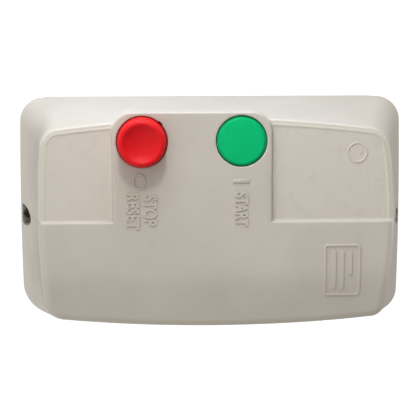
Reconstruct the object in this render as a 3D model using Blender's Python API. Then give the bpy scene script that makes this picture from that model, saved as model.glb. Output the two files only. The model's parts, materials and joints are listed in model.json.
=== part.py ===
"""Enclosed direct-on-line motor starter with thermal overload protection.

The enclosure hangs on a wall: its back lies in the plane y = 0, its front faces -Y, +Z is up, and the
origin is the point of the back face midway between the two cover screws. Sizes are in millimetres, and MM
turns them into Blender's metres.
"Depth" means the distance in front of the wall, so a depth d lies at y = -d.
"""

import math

import bmesh
import bpy
from mathutils import Matrix, Vector

MM = 0.001
GAP = 0.3  # clearance between neighbouring pieces

# Enclosure
BASE_DEPTH = 38.0
BASE_TAPER = 1.5  # how much narrower the base is at the wall, on every side
BASE_WALL = 3.0
RIM_DEPTH = BASE_DEPTH + GAP
EDGE_DEPTH = 97.0  # where the drafted cover walls meet the rounding of the front
PANEL_DEPTH = 100.5  # recessed panels beside the button tab
FACE_DEPTH = 103.0  # raised T-shaped face
WALL = 2.6
FLOOR = 3.0
LIP_DEPTH = BASE_DEPTH - 2.0  # floor of the groove that holds the gasket
WALL_HOLE_RADIUS, WALL_HOLE_X, WALL_HOLE_Z = 2.6, 42.0, 80.0
KNOCKOUT_X, KNOCKOUT_Y, KNOCKOUT_RING, KNOCKOUT_GROOVE = 26.0, -19.0, (9.2, 10.2), 2.0

# Front face
TAB_LEFT, TAB_TOP, TAB_BOTTOM, TAB_RADIUS = -57.2, 28.1, -50.4, 10.0
TAB_RIGHT, TAB_BACK = 20.0, 72.0  # both inside the raised face
STEP_X = -3.0  # the face is full height to the right of this line
SLOPE_X, SLOPE_ANGLE = 26.0, math.radians(13.5)
BEYOND = 115.0  # a depth clear of everything on the front

# Push buttons, as (x, z)
START_AT = (-43.0, 13.1)
STOP_AT = (-42.8, -35.8)
CAP_RADIUS = 12.25
BUTTON_HOLE_RADIUS = 12.7
SLEEVE_RADIUS = 14.0
SLEEVE_DEPTH = 86.0  # rear end of the guide sleeves
RETAINER = (87.3, 89.7)
STEM_RADIUS = 4.0
STOP_FRONT = 115.0
SPRING_RADIUS, SPRING_WIRE, SPRING_TURNS = 6.4, 0.9, 5

# Cover screws, at mid-width on both ends
SCREW_Z, BOSS_RADIUS = 98.4, 5.5
WELL_Z, WELL_RADIUS, WELL_FLOOR, WELL_WALL = 99.5, 5.3, 43.0, 2.6
SCREW_HOLE_RADIUS, TAPPED_RADIUS = 1.9, 1.8

# Contactor and overload relay, both 45 wide
UNIT_LEFT, UNIT_RIGHT = -50.0, -5.0
CONTACTOR_LOW, CONTACTOR_HIGH = 0.0, 58.0
CONTACTOR_BACK, CONTACTOR_SPLIT, CONTACTOR_FRONT = 13.1, 38.0, 66.0
RELAY_LOW, RELAY_HIGH = -56.0, -6.0
RELAY_BACK, RELAY_SPLIT, RELAY_FRONT = 16.0, 58.0, 72.0
UNIT_WALL = 2.0
POLE_X = (-42.0, -27.5, -13.0)
CORE_Z = (21.0, 37.0)
RAIL_Z, RAIL_ENDS, RAIL_SCREW_X = 29.0, (-54.0, 50.0), (-48.0, 44.0)
PILLAR_RADIUS = 5.0
LINE_SCREW_Z, LOAD_SCREW_Z, RELAY_SCREW_Z = 51.0, 7.0, -50.0
DIAL_AT = (-22.0, -30.0)
EARTH_AT = (35.0, -60.0)

# Outlines of the housing: (left, right, half height, radii left, upper right and lower right,
# bulges left, right, upwards and downwards, and how much shorter the right side is than the middle)
PARTING = (61.6, 57.2, 101.9, 12.5, 12.8, 17.6, 0.0, 0.0, 0.009, 0.009, 0.0)
FRONT = (48.7, 45.95, 85.0, 8.0, 5.0, 8.0, 0.125, 0.106, 0.06, 0.034, 0.0083)


# ---------------------------------------------------------------- scene and materials


def clear_scene():
    for obj in list(bpy.data.objects):
        bpy.data.objects.remove(obj, do_unlink=True)


def make_material(name, colour, roughness, metallic=0.0):
    material = bpy.data.materials.new(name)
    material.use_nodes = True
    shader = material.node_tree.nodes["Principled BSDF"]
    shader.inputs["Base Color"].default_value = (*colour, 1.0)
    shader.inputs["Roughness"].default_value = roughness
    shader.inputs["Metallic"].default_value = metallic
    material.diffuse_color = (*colour, 1.0)
    return material


# ---------------------------------------------------------------- solids


def finish(name, bm, material, joint=None, helper=False):
    """Turns a bmesh in millimetres into an object; a moving piece hangs on its joint's empty."""
    bmesh.ops.recalc_face_normals(bm, faces=bm.faces)
    bmesh.ops.scale(bm, vec=(MM, MM, MM), verts=bm.verts)
    mesh = bpy.data.meshes.new(name)
    bm.to_mesh(mesh)
    bm.free()
    mesh.materials.append(material)
    mesh.shade_smooth()
    mesh.set_sharp_from_angle(angle=math.radians(35))
    obj = bpy.data.objects.new(name, mesh)
    bpy.context.scene.collection.objects.link(obj)
    if joint is not None:
        obj.parent = joint
        obj.location = -joint.location
    if helper:
        obj.hide_render = True
        obj.display_type = "WIRE"
    return obj


def make_joint(name, x, depth, z):
    """An empty on a joint's axis."""
    empty = bpy.data.objects.new(name, None)
    empty.empty_display_size = 10 * MM
    empty.location = Vector((x, -depth, z)) * MM
    bpy.context.scene.collection.objects.link(empty)
    return empty


def loft(sections):
    """Closed solid through outlines of (x, z) points, given as (depth, points) from back to front."""
    bm = bmesh.new()
    rings = [[bm.verts.new((x, -depth, z)) for x, z in points] for depth, points in sections]
    for lower, upper in zip(rings, rings[1:]):
        for i in range(len(lower)):
            j = (i + 1) % len(lower)
            bm.faces.new((lower[i], lower[j], upper[j], upper[i]))
    bm.faces.new(rings[0])
    bm.faces.new(rings[-1])
    return bm


def box(x, depth, z):
    """Block between two values along each axis."""
    corners = [(x[0], z[0]), (x[1], z[0]), (x[1], z[1]), (x[0], z[1])]
    return loft([(depth[0], corners), (depth[1], corners)])


def along_z(outline, z):
    """Prism of an (x, depth) outline, running in z."""
    bm = loft([(z[0], outline), (z[1], outline)])
    # (x, -z, depth) becomes (x, -depth, z)
    turn = Matrix(((1, 0, 0), (0, 0, -1), (0, -1, 0)))
    bmesh.ops.transform(bm, matrix=turn.to_4x4(), verts=bm.verts)
    return bm


def along_x(outline, x):
    """Prism of a (z, depth) outline, running in x."""
    bm = loft([(x[0], outline), (x[1], outline)])
    # (z, -x, depth) becomes (x, -depth, z)
    turn = Matrix(((0, -1, 0), (0, 0, -1), (1, 0, 0)))
    bmesh.ops.transform(bm, matrix=turn.to_4x4(), verts=bm.verts)
    return bm


def turned(profile, centre, steps):
    """Solid of revolution about the line through (x, z) = centre. The profile is a closed (radius, depth)
    outline; points of radius 0 lie on the axis."""
    bm = bmesh.new()
    rings = []
    for radius, depth in profile:
        if radius == 0:
            rings.append([bm.verts.new((centre[0], -depth, centre[1]))])
            continue
        angles = [2 * math.pi * i / steps for i in range(steps)]
        rings.append(
            [
                bm.verts.new((centre[0] + radius * math.cos(a), -depth, centre[1] + radius * math.sin(a)))
                for a in angles
            ]
        )
    for first, second in zip(rings, rings[1:] + rings[:1]):
        for i in range(steps):
            j = (i + 1) % steps
            corners = {
                first[i % len(first)]: None,
                first[j % len(first)]: None,
                second[j % len(second)]: None,
                second[i % len(second)]: None,
            }
            if len(corners) > 2:
                bm.faces.new(corners)
    return bm


def cylinder(radius, depth, centre, steps=24):
    return turned([(0, depth[0]), (radius, depth[0]), (radius, depth[1]), (0, depth[1])], centre, steps)


def tube(inner, outer, depth, centre, steps=32):
    profile = [(inner, depth[0]), (outer, depth[0]), (outer, depth[1]), (inner, depth[1])]
    return turned(profile, centre, steps)


def upright(bm, z):
    """Turns a solid made about a depth axis to stand along z, its depths counted up from z. The second
    value of its centre becomes its y."""
    turn = Matrix(((1, 0, 0), (0, 0, 1), (0, -1, 0)))
    bmesh.ops.transform(bm, matrix=Matrix.Translation((0, 0, z)) @ turn.to_4x4(), verts=bm.verts)
    return bm


def spring(centre, depth, radius, wire, turns, per_turn=8, sides=5):
    """Compression spring between two depths: a helix of round wire with closed ends."""
    bm = bmesh.new()
    low, high = depth[0] + wire / 2, depth[1] - wire / 2
    count = round(turns * per_turn)
    rings = []
    for i in range(count + 1):
        share = i / count
        angle = 2 * math.pi * turns * share
        # half a turn lies flat at each end
        rise = min(max((share * turns - 0.5) / (turns - 1), 0.0), 1.0)
        outward = Vector((math.cos(angle), 0, math.sin(angle)))
        middle = Vector((centre[0], -(low + (high - low) * rise), centre[1])) + outward * radius
        ring = []
        for k in range(sides):
            turn = 2 * math.pi * k / sides
            offset = outward * math.cos(turn) + Vector((0, math.sin(turn), 0))
            ring.append(bm.verts.new(middle + offset * wire / 2))
        rings.append(ring)
    for first, second in zip(rings, rings[1:]):
        for k in range(sides):
            j = (k + 1) % sides
            bm.faces.new((first[k], first[j], second[j], second[k]))
    bm.faces.new(rings[0])
    bm.faces.new(rings[-1])
    return bm


def combine(target, operation, *pieces):
    """Adds a Boolean for each helper solid: DIFFERENCE cuts it away, UNION joins it on."""
    for number, bm in enumerate(pieces, 1):
        name = f"{target.name}_{operation.lower()}_{len(target.modifiers) + 1}"
        helper = finish(name, bm, target.data.materials[0], helper=True)
        modifier = target.modifiers.new(f"{operation} {number}", "BOOLEAN")
        modifier.operation = operation
        modifier.solver = "EXACT"
        modifier.object = helper
        helper.parent = target.parent
        helper.location = target.location


def subtract(target, helper):
    """Cuts away a helper object that has cuts of its own."""
    modifier = target.modifiers.new(helper.name, "BOOLEAN")
    modifier.operation = "DIFFERENCE"
    modifier.object = helper
    helper.parent = target.parent
    helper.location = target.location


def cut(target, *pieces):
    combine(target, "DIFFERENCE", *pieces)


def join(target, *pieces):
    combine(target, "UNION", *pieces)


# ---------------------------------------------------------------- outlines


def arc(x, z, radius, start, end, steps):
    """Points of an arc about (x, z), its angles in degrees."""
    angles = [math.radians(start + (end - start) * i / steps) for i in range(steps + 1)]
    return [(x + radius * math.cos(a), z + radius * math.sin(a)) for a in angles]


def rounded_rectangle(x, z, radius, steps=6):
    points = arc(x[1] - radius, z[1] - radius, radius, 0, 90, steps)
    points += arc(x[0] + radius, z[1] - radius, radius, 90, 180, steps)
    points += arc(x[0] + radius, z[0] + radius, radius, 180, 270, steps)
    return points + arc(x[1] - radius, z[0] + radius, radius, 270, 360, steps)


def housing_outline(shape, inset=0.0, sides=6):
    """Rounded rectangle whose sides bulge outwards, each long or short side in several steps."""
    left, right, half, r_left, r_right, r_low, bulge_left, bulge_right, bulge_up, bulge_down, lean = shape
    left, right, half = left - inset, right - inset, half - inset
    r_left, r_right, r_low = [max(r - inset, 1.0) for r in (r_left, r_right, r_low)]
    corners = [
        arc(right - r_right, half - r_right, r_right, 0, 90, 6),
        arc(-left + r_left, half - r_left, r_left, 90, 180, 6),
        arc(-left + r_left, -half + r_left, r_left, 180, 270, 6),
        arc(right - r_low, -half + r_low, r_low, 270, 360, 6),
    ]
    points = []
    for corner, following in zip(corners, corners[1:] + corners[:1]):
        points += corner
        (x0, z0), (x1, z1) = corner[-1], following[0]
        points += [(x0 + (x1 - x0) * i / sides, z0 + (z1 - z0) * i / sides) for i in range(1, sides)]
    bulged = []
    for x, z in points:
        side, width = (bulge_right, right) if x > 0 else (bulge_left, left)
        end = bulge_up if z > 0 else bulge_down
        wider, longer = side * (1 - (z / half) ** 2), end * (1 - (x / width) ** 2)
        bulged.append((x * (1 + wider), z * (1 + longer) * (1 - lean * x / width)))
    return bulged


def wall_outline(depth, inset=0.0):
    """Outline of the drafted cover wall at a depth between the rim and the front edge."""
    share = (depth - BASE_DEPTH) / (EDGE_DEPTH - BASE_DEPTH)
    return housing_outline([a + (b - a) * share for a, b in zip(PARTING, FRONT)], inset)


# ---------------------------------------------------------------- enclosure


def make_base(plastic):
    outer = [(0, housing_outline(PARTING, BASE_TAPER)), (BASE_DEPTH, housing_outline(PARTING))]
    base = finish("base", loft(outer), plastic)
    inner = [(FLOOR, housing_outline(PARTING, BASE_WALL + BASE_TAPER))]
    inner.append((BASE_DEPTH + 1, housing_outline(PARTING, BASE_WALL)))
    cavity = finish("base_cavity", loft(inner), plastic, helper=True)
    above = BASE_DEPTH + 2
    cut(cavity, *[cylinder(BOSS_RADIUS, (0, above), (0, side * SCREW_Z), 16) for side in (-1, 1)])
    subtract(base, cavity)
    pillars = [cylinder(PILLAR_RADIUS, (2.0, 5.0), (x, RAIL_Z), 16) for x in RAIL_SCREW_X]
    join(base, *pillars, cylinder(PILLAR_RADIUS, (2.0, 8.0), EARTH_AT, 16))
    holes = [cylinder(TAPPED_RADIUS, (14.0, above), (0, side * SCREW_Z), 12) for side in (-1, 1)]
    holes += [cylinder(TAPPED_RADIUS, (1.2, 6.0), (x, RAIL_Z), 12) for x in RAIL_SCREW_X]
    for x in (-WALL_HOLE_X, WALL_HOLE_X):
        for z in (-WALL_HOLE_Z, WALL_HOLE_Z):
            holes.append(cylinder(WALL_HOLE_RADIUS, (-1.0, FLOOR + 2), (x, z), 16))
    cut(base, *holes)
    cut(base, ring_solid(LIP_DEPTH, BASE_DEPTH + 1.0, 0.6, 2.0))
    make_knockouts(base)
    return base


def make_knockouts(base):
    """Ring grooves in both end walls, round the places where cables may enter."""
    groove = (-KNOCKOUT_GROOVE, KNOCKOUT_GROOVE)
    for side in (-1, 1):
        rings = []
        for x in (-KNOCKOUT_X, KNOCKOUT_X):
            ring = tube(*KNOCKOUT_RING, groove, (x, KNOCKOUT_Y), 28)
            rings.append(upright(ring, side * PARTING[2]))
        cut(base, *rings)


def ring_solid(low, high, outer_inset, inner_inset):
    """Flat ring that follows the enclosure's outline."""
    bm = bmesh.new()
    rings = []
    for inset, depth in ((outer_inset, low), (outer_inset, high), (inner_inset, high), (inner_inset, low)):
        rings.append([bm.verts.new((x, -depth, z)) for x, z in housing_outline(PARTING, inset)])
    for first, second in zip(rings, rings[1:] + rings[:1]):
        for i in range(len(first)):
            j = (i + 1) % len(first)
            bm.faces.new((first[i], first[j], second[j], second[i]))
    return bm


def make_gasket(rubber):
    return finish("cover_gasket", ring_solid(LIP_DEPTH + GAP, BASE_DEPTH, 0.9, 1.7), rubber)


def raised_face(plastic, cover, joint):
    """The T-shaped part of the front that stands above the panels, as helpers joined to the cover."""
    sections = [(90.0, wall_outline(90.0, 1.0))]
    for depth, inset in ((EDGE_DEPTH, 0.3), (99.8, 0.6), (102.0, 1.8), (FACE_DEPTH, 3.8)):
        sections.append((depth, wall_outline(EDGE_DEPTH, inset)))
    face = finish("cover_face", loft(sections), plastic, helper=True)
    cut(face, box((-70, STEP_X), (80, 110), (-100, 100)))
    modifier = cover.modifiers.new(face.name, "BOOLEAN")
    modifier.operation = "UNION"
    modifier.object = face
    face.parent = joint
    face.location = cover.location
    tab = rounded_rectangle((TAB_LEFT, TAB_RIGHT), (TAB_BOTTOM, TAB_TOP), TAB_RADIUS)
    join(cover, loft([(TAB_BACK, tab), (FACE_DEPTH, tab)]))


def cover_cavity(plastic, slope):
    """Hollow inside of the cover; material stays round the screw wells and under the slope."""
    hollow = [(RIM_DEPTH - 3, wall_outline(RIM_DEPTH, WALL)), (RIM_DEPTH, wall_outline(RIM_DEPTH, WALL))]
    hollow.append((92.0, wall_outline(92.0, WALL)))
    hollow.append((PANEL_DEPTH - WALL, wall_outline(EDGE_DEPTH, WALL + 2.0)))
    cavity = finish("cover_cavity", loft(hollow), plastic, helper=True)
    well = (RIM_DEPTH - 8, 64.0)
    cut(cavity, *[cylinder(WELL_RADIUS + WELL_WALL, well, (0, s * WELL_Z), 24) for s in (-1, 1)])
    cut(cavity, along_z([(x - 0.5, depth - WALL) for x, depth in slope], (-110, 110)))
    return cavity


def make_cover(plastic, joint):
    outer = [(RIM_DEPTH, wall_outline(RIM_DEPTH))]
    for depth, inset in ((EDGE_DEPTH, 0.0), (99.3, 1.2), (PANEL_DEPTH, 3.4)):
        outer.append((depth, wall_outline(EDGE_DEPTH, inset)))
    cover = finish("cover", loft(outer), plastic, joint)
    raised_face(plastic, cover, joint)

    reach = 40.0
    low = FACE_DEPTH - reach * math.tan(SLOPE_ANGLE)
    slope = [(SLOPE_X, FACE_DEPTH), (SLOPE_X + reach, low), (SLOPE_X + reach, BEYOND), (SLOPE_X, BEYOND)]
    cut(cover, along_z(slope, (-110, 110)))
    subtract(cover, cover_cavity(plastic, slope))

    for at in (START_AT, STOP_AT):
        join(cover, tube(BUTTON_HOLE_RADIUS, SLEEVE_RADIUS, (SLEEVE_DEPTH, PANEL_DEPTH), at))
        cut(cover, cylinder(BUTTON_HOLE_RADIUS, (SLEEVE_DEPTH - 1, BEYOND), at, 32))
    for side in (-1, 1):
        cut(cover, cylinder(WELL_RADIUS, (WELL_FLOOR, BEYOND), (0, side * WELL_Z), 24))
        cut(cover, cylinder(SCREW_HOLE_RADIUS, (30, 50), (0, side * SCREW_Z), 12))
    return cover


def screw(name, at, head, shank, steel, joint=None):
    """Pan-head screw with a cross recess: head and shank are (radius, low depth, high depth)."""
    radius, seat, top = head
    profile = [(0, shank[1]), (shank[0], shank[1]), (shank[0], seat), (radius, seat)]
    profile += [(radius, top - 0.35 * (top - seat)), (0.75 * radius, top), (0, top)]
    piece = finish(name, turned(profile, at, 16), steel, joint)
    arm, half = 0.6 * radius, 0.12 * radius + 0.15
    cross = [(arm, half), (half, half), (half, arm), (-half, arm), (-half, half), (-arm, half)]
    cross += [(-x, -z) for x, z in cross]
    deep = 0.45 * (top - seat)
    cut(piece, loft([(d, [(at[0] + x, at[1] + z) for x, z in cross]) for d in (top - deep, top + 1)]))
    return piece


def make_cover_screws(steel, joint):
    for name, side in (("cover_screw_top", 1), ("cover_screw_bottom", -1)):
        head = (2.6, WELL_FLOOR + GAP, WELL_FLOOR + 2.7)
        screw(name, (0, side * SCREW_Z), head, (1.5, 18.0), steel, joint)


# ---------------------------------------------------------------- push buttons


def make_button(name, at, plastic, joint, crown, stem_end):
    """Hollow cap on a stem. crown is the outer profile of the front, from the rim inwards."""
    skirt, lining, floor = 95.0, CAP_RADIUS - 1.8, crown[-1][1] - 2.2
    profile = [(0, stem_end), (STEM_RADIUS, stem_end), (STEM_RADIUS, 86.0), (3.0, 86.0), (3.0, 87.2)]
    profile += [(STEM_RADIUS, 87.2), (STEM_RADIUS, floor), (lining, floor), (lining, skirt)]
    profile += [(CAP_RADIUS, skirt), *crown]
    return finish(name, turned(profile, at, 32), plastic, joint)


def start_crown():
    """Slightly crowned face with a small rounded edge."""
    edge = [(CAP_RADIUS, 102.6), (CAP_RADIUS - 0.3, 103.0), (CAP_RADIUS - 0.9, 103.15)]
    return edge + [(8.0, 103.35), (0, 103.5)]


def stop_crown():
    """Rounded rim round a shallow dish."""
    rim = [(CAP_RADIUS, 104.0), (11.5, 105.0), (11.5, 113.6), (11.1, 114.6), (10.3, STOP_FRONT)]
    return rim + [(9.4, 114.5), (7.5, 113.4), (5.0, 112.7), (2.5, 112.3), (0, 112.2)]


def make_clip(name, at, steel, joint):
    """Open retaining ring in the groove of a button's stem."""
    outer = arc(at[0], at[1], 6.4, 35, 325, 14)
    inner = arc(at[0], at[1], 3.4, 325, 35, 14)
    return finish(name, loft([(86.2, outer + inner), (87.0, outer + inner)]), steel, joint)


def make_push_buttons(finishes, cover_joint, start_joint, stop_joint):
    white, steel = finishes["nylon"], finishes["steel"]
    make_button("start_button", START_AT, finishes["green"], start_joint, start_crown(), 84.0)
    make_button("stop_button", STOP_AT, finishes["red"], stop_joint, stop_crown(), 80.0)
    for side, at, joint, top in (
        ("start", START_AT, start_joint, 101.0),
        ("stop", STOP_AT, stop_joint, 109.7),
    ):
        disc = tube(STEM_RADIUS + 0.4, BUTTON_HOLE_RADIUS - GAP, RETAINER, at, 24)
        finish(f"{side}_retainer", disc, white, cover_joint)
        make_clip(f"{side}_clip", at, steel, joint)
        coil = spring(at, (RETAINER[1] + GAP, top), SPRING_RADIUS, SPRING_WIRE, SPRING_TURNS)
        finish(f"{side}_spring", coil, steel, cover_joint)


# ---------------------------------------------------------------- rail and earth


def make_rail(steel, zinc):
    profile = [(17.5, 11.8), (13.5, 11.8), (13.5, 5.3), (-13.5, 5.3), (-13.5, 11.8), (-17.5, 11.8)]
    profile += [(-17.5, 12.8), (-12.5, 12.8), (-12.5, 6.3), (12.5, 6.3), (12.5, 12.8), (17.5, 12.8)]
    rail = finish("din_rail", along_x([(z + RAIL_Z, d) for z, d in profile], RAIL_ENDS), zinc)
    cut(rail, *[cylinder(2.2, (4, 8), (x, RAIL_Z), 16) for x in RAIL_SCREW_X])
    for name, x in zip(("rail_screw_left", "rail_screw_right"), RAIL_SCREW_X):
        screw(name, (x, RAIL_Z), (3.6, 6.6, 8.8), (1.5, 1.6), steel)


def make_earth_terminal(brass):
    """Clamp block on its pillar, with a bolt head moulded to it."""
    x, z = EARTH_AT
    block = finish("earth_terminal", box((x - 6, x + 6), (8.3, 12.0), (z - 5, z + 5)), brass)
    join(block, cylinder(3.6, (11.0, 15.0), EARTH_AT, 6))
    return block


# ---------------------------------------------------------------- contactor


def unit_shell(name, depth, z, cavity_depth, plastic):
    """Box housing that is hollow between the given cavity depths."""
    shell = finish(name, box((UNIT_LEFT, UNIT_RIGHT), depth, z), plastic)
    inside = (UNIT_LEFT + UNIT_WALL, UNIT_RIGHT - UNIT_WALL)
    cut(shell, box(inside, cavity_depth, (z[0] + UNIT_WALL, z[1] - UNIT_WALL)))
    return shell


def make_contactor_housing(black, grey):
    z = (CONTACTOR_LOW, CONTACTOR_HIGH)
    lower = unit_shell("contactor_base", (CONTACTOR_BACK, CONTACTOR_SPLIT), z, (15.1, 39.0), black)
    hook = [(46.8, 14.0), (46.8, 11.5), (44.2, 11.5), (44.2, 9.5), (49.5, 9.5), (49.5, 14.0)]
    join(lower, along_x(hook, (-35, -20)))

    upper = unit_shell("contactor_top", (CONTACTOR_SPLIT + GAP, CONTACTOR_FRONT), z, (37.0, 64.0), grey)
    for ledge in ((46.0, 57.0), (1.0, 12.0)):
        join(upper, box((UNIT_LEFT + 1, UNIT_RIGHT - 1), (40.0, 46.3), ledge))
    cut(upper, box((-31.4, -23.6), (60, 70), (24.6, 33.4)))
    for x in POLE_X:
        for height in (LINE_SCREW_Z, LOAD_SCREW_Z):
            cut(upper, cylinder(3.4, (60, 70), (x, height), 16), cylinder(2.1, (39, 47), (x, height), 12))
        for opening in ((-2, 4), (54, 60)):
            cut(upper, box((x - 3.5, x + 3.5), (46.6, 52.0), opening))


def e_shape(yoke, tips):
    """Outline of a three-legged magnet in (x, depth), its back at yoke[0] and its legs ending at tips."""
    back, front = yoke
    legs = ((-43.0, -38.5), (-31.5, -23.5), (-16.5, -12.0))
    points = [(legs[0][0], back), (legs[-1][1], back)]
    for left, right in reversed(legs):
        points += [(right, front), (right, tips), (left, tips), (left, front)]
    # the outer corners need no point of their own between yoke and leg
    return [points[0], points[1], *points[3:-1]]


def make_magnet(steel, copper, carrier_joint):
    finish("magnet_core", along_z(e_shape((15.4, 20.4), 29.0), CORE_Z), steel)
    finish("armature", along_z(e_shape((43.0, 38.6), 34.0), CORE_Z), steel, carrier_joint)
    flange = rounded_rectangle((-38.1, -16.9), (13.0, 45.0), 1.5, 2)
    winding = rounded_rectangle((-36.7, -18.3), (14.4, 43.6), 2.5, 2)
    levels = [(20.8, flange), (22.0, flange), (22.0, winding)]
    levels += [(31.8, winding), (31.8, flange), (33.0, flange)]
    coil = finish("coil", loft(levels), copper)
    cut(coil, box((-32.0, -23.0), (18, 36), (20.5, 37.5)))


def make_carrier(black, copper, steel, joint):
    carrier = finish("contact_carrier", box((-46, -9), (43.3, 62.0), (22, 36)), black, joint)
    join(carrier, box((-32, -23), (43.3, 45.3), (13.5, 44.5)), box((-31, -24), (61.0, 66.5), (25, 33)))
    for number, x in enumerate(POLE_X, 1):
        cut(carrier, box((x - 2.6, x + 2.6), (54.5, 60.0), (20, 40)))
        name = f"contact_bridge_{number}"
        bridge = finish(name, box((x - 2.2, x + 2.2), (54.8, 56.2), (12.5, 45.5)), copper, joint)
        join(bridge, *[cylinder(1.8, (54.0, 55.4), (x, z), 10) for z in (15.0, 43.0)])
    for name, z in (("return_spring_upper", 41.3), ("return_spring_lower", 16.7)):
        coil = spring((-27.5, z), (33.0 + GAP, 43.3 - GAP), 2.4, 0.6, 5)
        finish(name, coil, steel)


def make_power_terminals(copper, steel):
    """Line terminals above and load terminals below: a strip with a fixed contact, and its clamp screw."""
    sides = (
        ("line", (38.5, 55.7), LINE_SCREW_Z, 43.0),
        ("load", (2.3, 19.5), LOAD_SCREW_Z, 15.0),
    )
    for side, z, screw_z, contact_z in sides:
        for number, x in enumerate(POLE_X, 1):
            strip = finish(f"{side}_terminal_{number}", box((x - 4, x + 4), (46.6, 48.2), z), copper)
            join(strip, cylinder(1.8, (47.5, 49.0), (x, contact_z), 10))
            cut(strip, cylinder(2.0, (45, 50), (x, screw_z), 12))
            screw(f"{side}_screw_{number}", (x, screw_z), (3.0, 49.8, 52.2), (1.6, 41.0), steel)


def make_rail_clip(nylon, joint):
    """Sliding foot that grips the lower flange of the rail."""
    outline = [(-9.0, 9.5), (14.5, 9.5), (14.5, 11.5), (11.2, 11.5), (11.2, 12.8), (2.0, 12.8)]
    outline += [(2.0, 11.5), (-9.0, 11.5)]
    finish("rail_clip", along_x(outline, (-33, -22)), nylon, joint)


def make_start_contact(grey, nylon, plunger_joint):
    """Contact block on the contactor's front, under the START button."""
    block = finish("start_contact_block", box((-50, -36), (66.3, 81.0), (2, 24)), grey)
    cut(block, cylinder(4.4, (68.0, 82.0), START_AT, 24))
    stages = [(0, 73.0), (3.9, 73.0), (3.9, 82.7), (2.9, 83.7), (0, 83.7)]
    finish("start_contact_plunger", turned(stages, START_AT, 20), nylon, plunger_joint)


# ---------------------------------------------------------------- overload relay


def make_relay_housing(black, grey):
    z = (RELAY_LOW, RELAY_HIGH)
    lower = unit_shell("relay_base", (RELAY_BACK, RELAY_SPLIT), z, (18.0, 59.0), black)
    join(lower, box((UNIT_LEFT + 1, UNIT_RIGHT - 1), (30.0, 45.7), (RELAY_LOW + 1, -44.0)))
    for x in POLE_X:
        cut(lower, box((x - 2.9, x + 2.9), (48.2, 49.8), (-10, -4)))
        cut(lower, box((x - 3.5, x + 3.5), (46.0, 52.0), (-58, -53)))
        cut(lower, cylinder(2.1, (39, 47), (x, RELAY_SCREW_Z), 12))

    upper = unit_shell("relay_cover", (RELAY_SPLIT + GAP, RELAY_FRONT), z, (57.0, 70.0), grey)
    cut(upper, cylinder(3.9, (68, 74), STOP_AT, 20), cylinder(6.4, (68, 74), DIAL_AT, 24))
    cut(upper, *[cylinder(3.4, (68, 74), (x, RELAY_SCREW_Z), 16) for x in POLE_X])


def make_relay_poles(copper, bimetal, steel):
    for number, x in enumerate(POLE_X, 1):
        finish(f"relay_blade_{number}", box((x - 2.5, x + 2.5), (48.5, 49.5), (-20.0, 4.8)), copper)
        strip = finish(f"bimetal_{number}", box((x - 0.6, x + 0.6), (18.3, 50.0), (-29, -23)), bimetal)
        heater = rounded_rectangle((x - 2.0, x + 2.0), (-30.4, -21.6), 1.0, 2)
        join(strip, loft([(26.0, heater), (42.0, heater)]))
        pad = finish(f"relay_terminal_{number}", box((x - 4, x + 4), (46.0, 49.0), (-53.7, -44.5)), copper)
        cut(pad, cylinder(2.0, (44, 50), (x, RELAY_SCREW_Z), 12))
        screw(f"relay_screw_{number}", (x, RELAY_SCREW_Z), (3.0, 49.3, 51.7), (1.6, 40.0), steel)


def make_relay_controls(nylon, blue, joints):
    bar = finish("trip_bar", box((-46.5, -9.5), (50.3, 52.3), (-30, -22)), nylon, joints["trip_bar"])
    cut(bar, *[box((x + 2.0, x + 5.0), (49, 54), (-28, -24)) for x in POLE_X])
    stages = [(0, 60.0), (5.0, 60.0), (5.0, 62.0), (3.5, 62.0), (3.5, 79.0), (2.8, 79.7), (0, 79.7)]
    finish("reset_plunger", turned(stages, STOP_AT, 20), blue, joints["reset"])
    stages = [(0, 66.0), (8.0, 66.0), (8.0, 69.7), (6.0, 69.7), (6.0, 73.2), (5.6, 73.6), (0, 73.6)]
    dial = finish("current_dial", turned(stages, DIAL_AT, 24), nylon, joints["dial"])
    x, z = DIAL_AT
    cut(dial, box((x - 0.7, x + 0.7), (72.2, 75.0), (z - 1.0, z + 4.6)))


# ---------------------------------------------------------------- assembly


def make_finishes():
    return {
        "shell": make_material("shell plastic", (0.468, 0.418, 0.351), 0.55),
        "red": make_material("red plastic", (0.53, 0.008, 0.012), 0.35),
        "green": make_material("green plastic", (0.002, 0.42, 0.13), 0.4),
        "rubber": make_material("black rubber", (0.02, 0.02, 0.02), 0.8),
        "steel": make_material("bright steel", (0.55, 0.55, 0.56), 0.3, 1.0),
        "zinc": make_material("zinc-plated steel", (0.6, 0.6, 0.58), 0.4, 1.0),
        "brass": make_material("brass", (0.6, 0.42, 0.16), 0.35, 1.0),
        "copper": make_material("copper", (0.72, 0.33, 0.18), 0.35, 1.0),
        "bimetal": make_material("bimetal", (0.45, 0.38, 0.3), 0.4, 1.0),
        "black": make_material("black housing plastic", (0.03, 0.03, 0.032), 0.5),
        "grey": make_material("grey housing plastic", (0.35, 0.36, 0.36), 0.5),
        "nylon": make_material("natural nylon", (0.75, 0.73, 0.66), 0.45),
        "blue": make_material("blue plastic", (0.02, 0.12, 0.45), 0.4),
    }


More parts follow.
